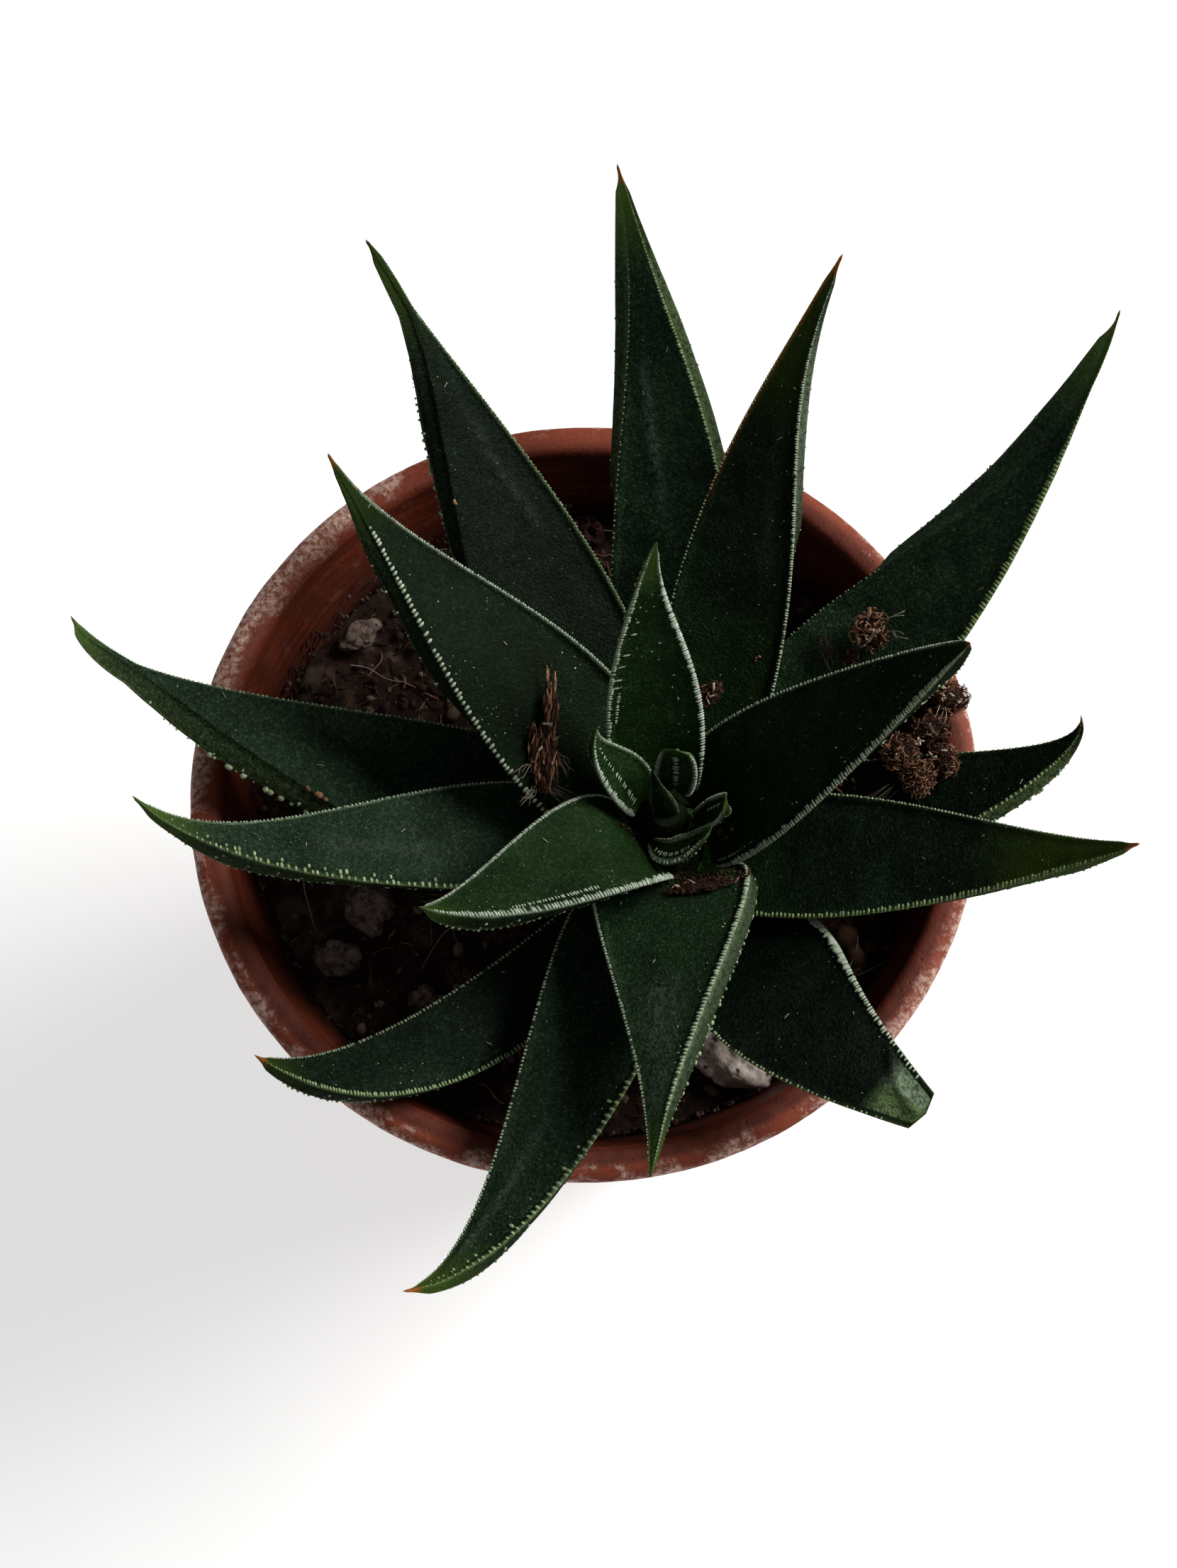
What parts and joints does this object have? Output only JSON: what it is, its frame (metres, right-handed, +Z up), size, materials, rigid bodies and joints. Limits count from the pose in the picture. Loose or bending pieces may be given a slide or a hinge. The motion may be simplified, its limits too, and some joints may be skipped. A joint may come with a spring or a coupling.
{
  "type": "potted haworthia",
  "caption": "Rosette succulent of stiff keeled leaves with white toothed edges, standing in soil in a round tapered clay pot with a rim band.",
  "frame": {"origin": "middle of the pot's foot, on the plane it stands on, which is also the middle of the whole part seen from above", "axes": "+Z up along the pot's axis, -Y towards the viewer of the picture, +X to that viewer's right"},
  "size_m": [0.1135, 0.1172, 0.1186],
  "materials": {
    "terracotta": "matt fired clay with pale lime bloom",
    "soil": "damp dark peat",
    "stem": "matt",
    "leaf_outer": "satin, finely grained, with raised white edge teeth",
    "leaf_inner": "satin, finely grained, with raised white edge teeth",
    "pumice": "rough and pitted",
    "bark": "rough",
    "peat": "fibrous"
  },
  "bodies": {
    "root": {"pot": "terracotta", "soil": "soil", "stem": "stem", "leaf_01": "leaf_outer", "leaf_02": "leaf_outer", "leaf_03": "leaf_outer", "leaf_04": "leaf_outer", "leaf_05": "leaf_outer", "leaf_06": "leaf_outer", "leaf_07": "leaf_outer", "leaf_08": "leaf_outer", "leaf_09": "leaf_outer", "leaf_10": "leaf_outer", "leaf_11": "leaf_outer", "leaf_12": "leaf_outer", "leaf_13": "leaf_inner", "leaf_14": "leaf_inner", "leaf_15": "leaf_inner", "leaf_16": "leaf_inner", "leaf_17": "leaf_inner", "leaf_18": "leaf_inner", "leaf_19": "leaf_inner", "leaf_20": "leaf_inner", "leaf_bud": "leaf_inner", "pumice_large": "pumice", "pumice_left": "pumice", "pumice_round": "pumice", "pumice_small": "pumice", "pumice_back": "pumice", "bark_chip": "bark", "peat_on_leaf_13": "peat", "peat_on_leaf_06": "peat", "peat_on_leaf_01": "peat", "peat_on_leaf_12": "peat", "peat_on_leaf_11": "peat", "peat_on_rim": "peat"}
  },
  "joints": []
}
